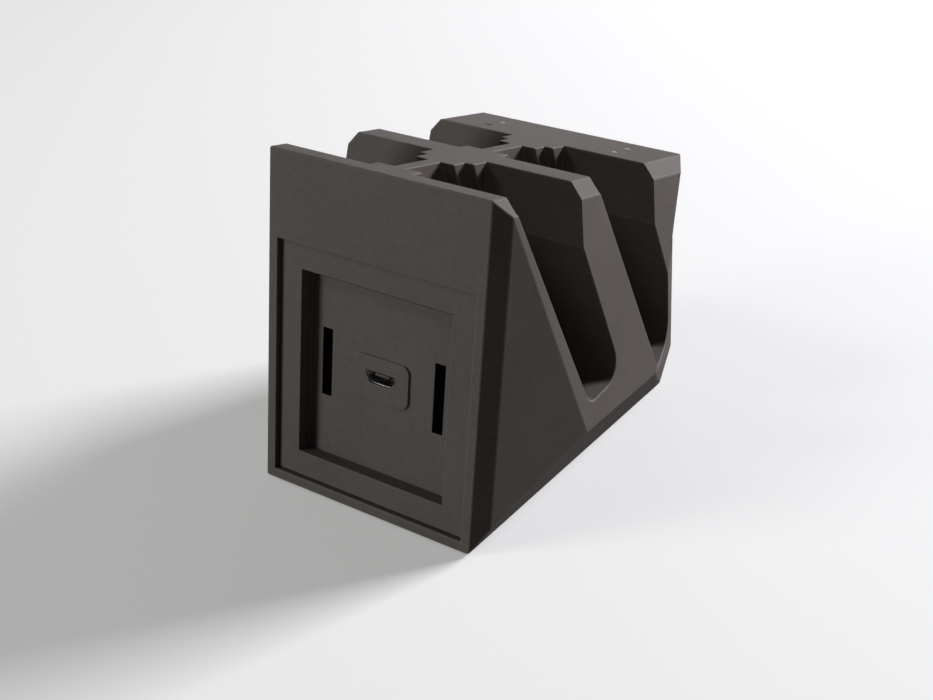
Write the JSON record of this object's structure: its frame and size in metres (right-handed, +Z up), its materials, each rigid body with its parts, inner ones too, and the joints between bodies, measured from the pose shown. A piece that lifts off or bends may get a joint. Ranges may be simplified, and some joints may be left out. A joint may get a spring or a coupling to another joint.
{
  "type": "controller charging dock",
  "caption": "Faceted desktop charging dock with sloping open-sided bays for slim half-controllers on both sides of a stepped centre column, and a recessed rear panel with a small socket.",
  "frame": {"origin": "on the surface the dock stands on, under the middle of its overall box", "axes": "+X to the right seen from the rear panel, +Y from the rear panel to the front, +Z up"},
  "size_m": [0.0752, 0.088, 0.0752],
  "materials": {
    "charcoal_plastic": "fine moulded texture",
    "black_plastic": "smooth moulded",
    "socket_steel": "plated sheet",
    "contact_brass": "plated springs",
    "board_green": "circuit board",
    "screw_steel": "plated",
    "foot_rubber": "soft, plain",
    "lamp_white": "small lamp bodies",
    "lens_clear": "translucent"
  },
  "bodies": {
    "root": {"housing": "charcoal_plastic", "rear_tray": "charcoal_plastic", "socket_shell": "socket_steel", "socket_tongue": "black_plastic", "socket_contacts": "contact_brass", "socket_board": "board_green", "riser_board": "board_green", "main_board": "board_green", "contact_block_1": "black_plastic", "contact_block_2": "black_plastic", "contact_block_3": "black_plastic", "contact_block_4": "black_plastic", "contact_springs_1": "contact_brass", "contact_springs_2": "contact_brass", "contact_springs_3": "contact_brass", "contact_springs_4": "contact_brass", "base_cover": "charcoal_plastic", "cover_screws": "screw_steel", "board_screws": "screw_steel", "foot_1": "foot_rubber", "foot_2": "foot_rubber", "foot_3": "foot_rubber", "foot_4": "foot_rubber", "lens_1": "lens_clear", "lens_2": "lens_clear", "lens_3": "lens_clear", "lens_4": "lens_clear", "lamp_board": "board_green", "lamps": "lamp_white", "socket_cable": "black_plastic"}
  },
  "joints": []
}
